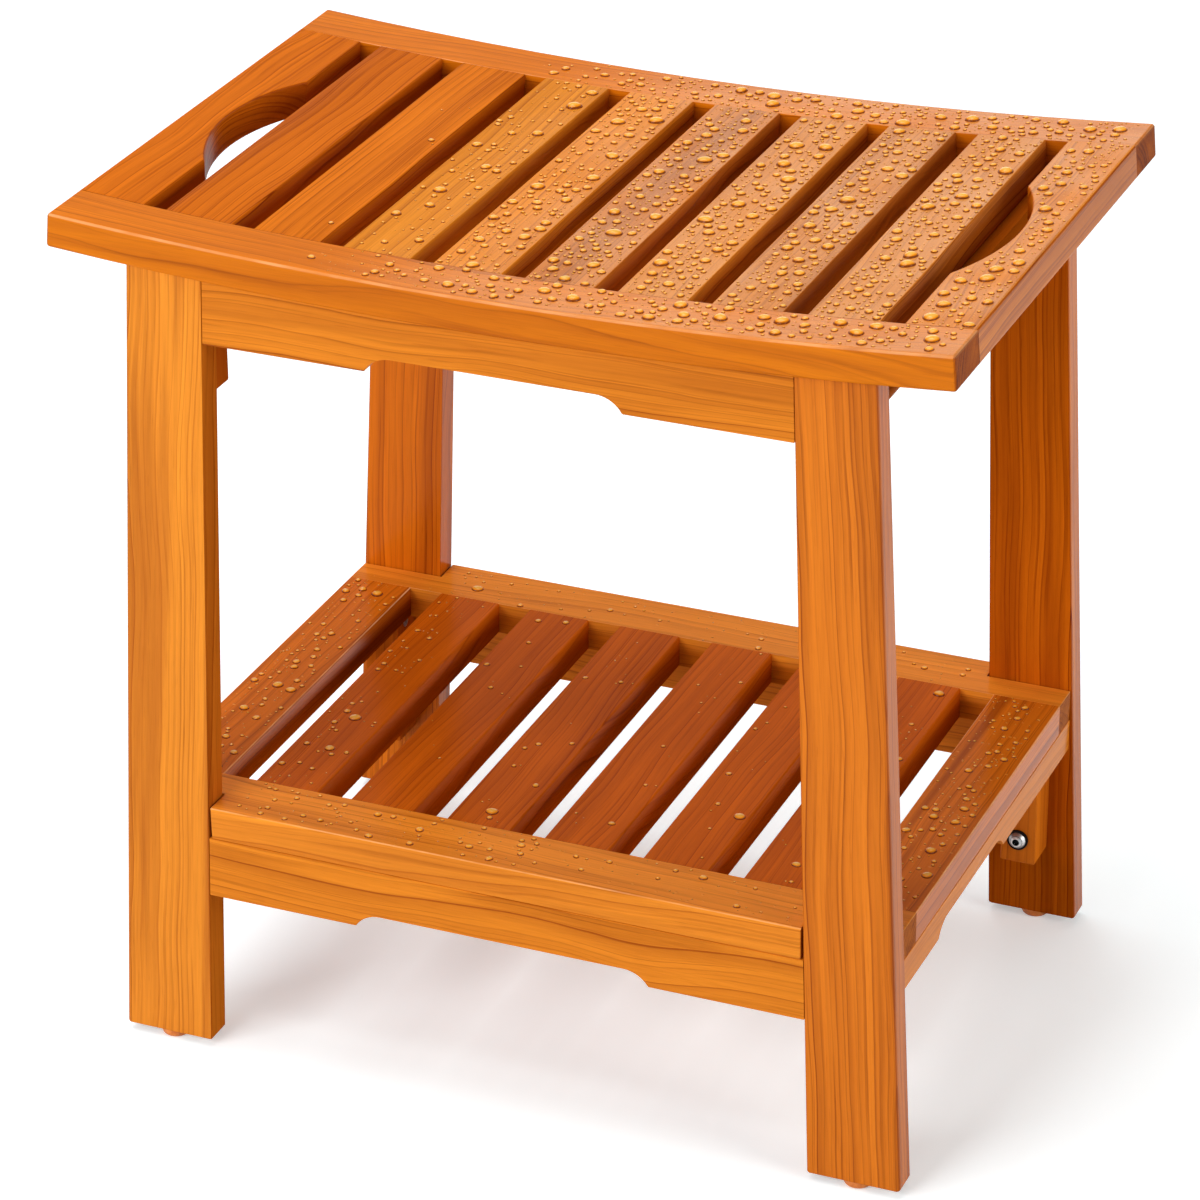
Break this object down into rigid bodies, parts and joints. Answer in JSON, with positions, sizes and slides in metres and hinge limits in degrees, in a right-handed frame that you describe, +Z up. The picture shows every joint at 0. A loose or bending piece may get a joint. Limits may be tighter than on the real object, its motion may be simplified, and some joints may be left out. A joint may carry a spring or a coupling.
{
  "type": "shower bench",
  "caption": "Wooden shower bench with a dished slatted seat, handle scoops in its end boards, splayed tapered legs, arched aprons, a slatted lower shelf and screw-in feet.",
  "frame": {"origin": "on the floor, under the middle of the bench, level with the lower faces of the foot pads", "axes": "+X along the seat to its right end as seen from the front, +Y from front to back, +Z up"},
  "size_m": [0.5234, 0.356, 0.519],
  "materials": {
    "seat_frame_teak": "oiled, satin",
    "seat_slat_teak": "oiled, satin, wet",
    "rail_teak": "oiled, satin",
    "leg_teak": "oiled, satin",
    "block_teak": "oiled, satin",
    "shelf_teak": "oiled, satin",
    "bolt_steel": "stainless, bright",
    "washer_black": "matt",
    "insert_brass": "machined",
    "screw_steel": "zinc plated",
    "foot_amber": "semi-gloss",
    "water_beads": "clear water"
  },
  "bodies": {
    "bench": {"seat_front_rail": "seat_frame_teak", "seat_rear_rail": "seat_frame_teak", "seat_end_board_left": "seat_frame_teak", "seat_end_board_right": "seat_frame_teak", "seat_slat_1": "seat_slat_teak", "seat_slat_2": "seat_slat_teak", "seat_slat_3": "seat_slat_teak", "seat_slat_4": "seat_slat_teak", "seat_slat_5": "seat_slat_teak", "seat_slat_6": "seat_slat_teak", "seat_slat_7": "seat_slat_teak", "seat_slat_8": "seat_slat_teak", "side_apron_left": "rail_teak", "side_apron_right": "rail_teak", "front_apron": "rail_teak", "rear_apron": "rail_teak", "front_rail": "rail_teak", "rear_rail": "rail_teak", "side_rail_left": "rail_teak", "side_rail_right": "rail_teak", "leg_front_left": "leg_teak", "leg_front_right": "leg_teak", "leg_rear_left": "leg_teak", "leg_rear_right": "leg_teak", "upper_block_front_left": "block_teak", "upper_block_front_right": "block_teak", "upper_block_rear_left": "block_teak", "upper_block_rear_right": "block_teak", "lower_block_front_left": "block_teak", "lower_block_front_right": "block_teak", "lower_block_rear_left": "block_teak", "lower_block_rear_right": "block_teak", "shelf_front_board": "shelf_teak", "shelf_rear_board": "shelf_teak", "shelf_end_board_left": "shelf_teak", "shelf_end_board_right": "shelf_teak", "shelf_slat_1": "shelf_teak", "shelf_slat_2": "shelf_teak", "shelf_slat_3": "shelf_teak", "shelf_slat_4": "shelf_teak", "shelf_slat_5": "shelf_teak", "shelf_slat_6": "shelf_teak", "upper_bolts": "bolt_steel", "lower_bolts": "bolt_steel", "bolt_washers": "washer_black", "threaded_inserts": "insert_brass", "seat_screws": "screw_steel", "shelf_screws": "screw_steel", "block_screws": "screw_steel"},
    "foot_front_left": {"foot_pad_front_left": "foot_amber", "foot_stud_front_left": "screw_steel"},
    "foot_front_right": {"foot_pad_front_right": "foot_amber", "foot_stud_front_right": "screw_steel"},
    "foot_rear_left": {"foot_pad_rear_left": "foot_amber", "foot_stud_rear_left": "screw_steel"},
    "foot_rear_right": {"foot_pad_rear_right": "foot_amber", "foot_stud_rear_right": "screw_steel"}
  },
  "joints": [
    {"name": "foot_front_left_screw_out", "type": "slide", "parent": "bench", "child": "foot_front_left", "axis": [0, 0, -1], "range_m": [0, 0.008]},
    {"name": "foot_front_right_screw_out", "type": "slide", "parent": "bench", "child": "foot_front_right", "axis": [0, 0, -1], "range_m": [0, 0.008]},
    {"name": "foot_rear_left_screw_out", "type": "slide", "parent": "bench", "child": "foot_rear_left", "axis": [0, 0, -1], "range_m": [0, 0.008]},
    {"name": "foot_rear_right_screw_out", "type": "slide", "parent": "bench", "child": "foot_rear_right", "axis": [0, 0, -1], "range_m": [0, 0.008]}
  ]
}
